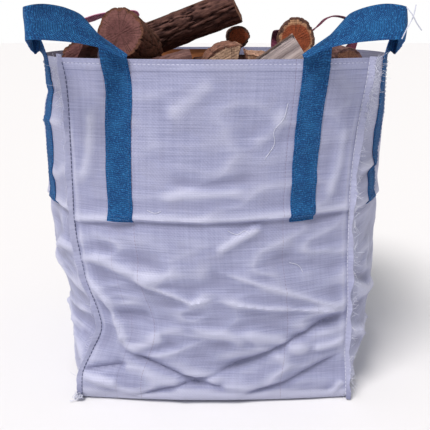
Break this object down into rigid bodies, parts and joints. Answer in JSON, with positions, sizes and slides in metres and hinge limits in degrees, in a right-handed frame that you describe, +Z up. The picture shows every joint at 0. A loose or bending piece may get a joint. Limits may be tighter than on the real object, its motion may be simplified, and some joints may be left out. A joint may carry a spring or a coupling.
{
  "type": "woven bulk bag filled with split firewood",
  "caption": "Open woven polypropylene bag with lifting loops of webbing at its corners, filled and heaped with split hardwood logs for the stove.",
  "frame": {"origin": "middle of the flat base, on the surface it stands on", "axes": "+Z up, the front of the bag faces -Y, +X is to the right when facing the front"},
  "size_m": [0.7594, 0.8073, 0.8533],
  "materials": {
    "woven_polypropylene": "woven, slightly glossy tapes",
    "blue_webbing": "woven webbing",
    "pink_webbing": "woven webbing",
    "crimson_webbing": "woven webbing",
    "bark": "rough furrowed bark, sawn ends",
    "split_wood": "split along the grain, bark on the outside"
  },
  "bodies": {
    "root": {"log_half_31": "split_wood", "log_half_34": "split_wood", "log_half_39": "split_wood", "log_half_41": "split_wood", "log_half_44": "split_wood", "log_half_47": "split_wood", "log_half_49": "split_wood", "log_half_53": "split_wood", "log_quarter_36": "split_wood", "log_quarter_45": "split_wood", "log_quarter_48": "split_wood", "log_round_01": "bark", "log_round_02": "bark", "log_round_03": "bark", "log_round_04": "bark", "log_round_05": "bark", "log_round_06": "bark", "log_round_07": "bark", "log_round_08": "bark", "log_round_09": "bark", "log_round_10": "bark", "log_round_11": "bark", "log_round_12": "bark", "log_round_13": "bark", "log_round_14": "bark", "log_round_15": "bark", "log_round_16": "bark", "log_round_17": "bark", "log_round_18": "bark", "log_round_19": "bark", "log_round_20": "bark", "log_round_21": "bark", "log_round_22": "bark", "log_round_23": "bark", "log_round_24": "bark", "log_round_25": "bark", "log_round_26": "bark", "log_round_27": "bark", "log_round_28": "bark", "log_round_29": "bark", "log_round_30": "bark", "log_round_32": "bark", "log_round_33": "bark", "log_round_35": "bark", "log_round_37": "bark", "log_round_38": "bark", "log_round_40": "bark", "log_round_42": "bark", "log_round_43": "bark", "log_round_46": "bark", "log_round_50": "bark", "log_round_51": "bark", "log_round_52": "bark", "loop_back_left": "pink_webbing", "loop_back_right": "crimson_webbing", "loop_front_left": "blue_webbing", "loop_front_right": "blue_webbing", "side_panel_left": "woven_polypropylene", "side_panel_right": "woven_polypropylene", "u_panel": "woven_polypropylene"}
  },
  "joints": []
}
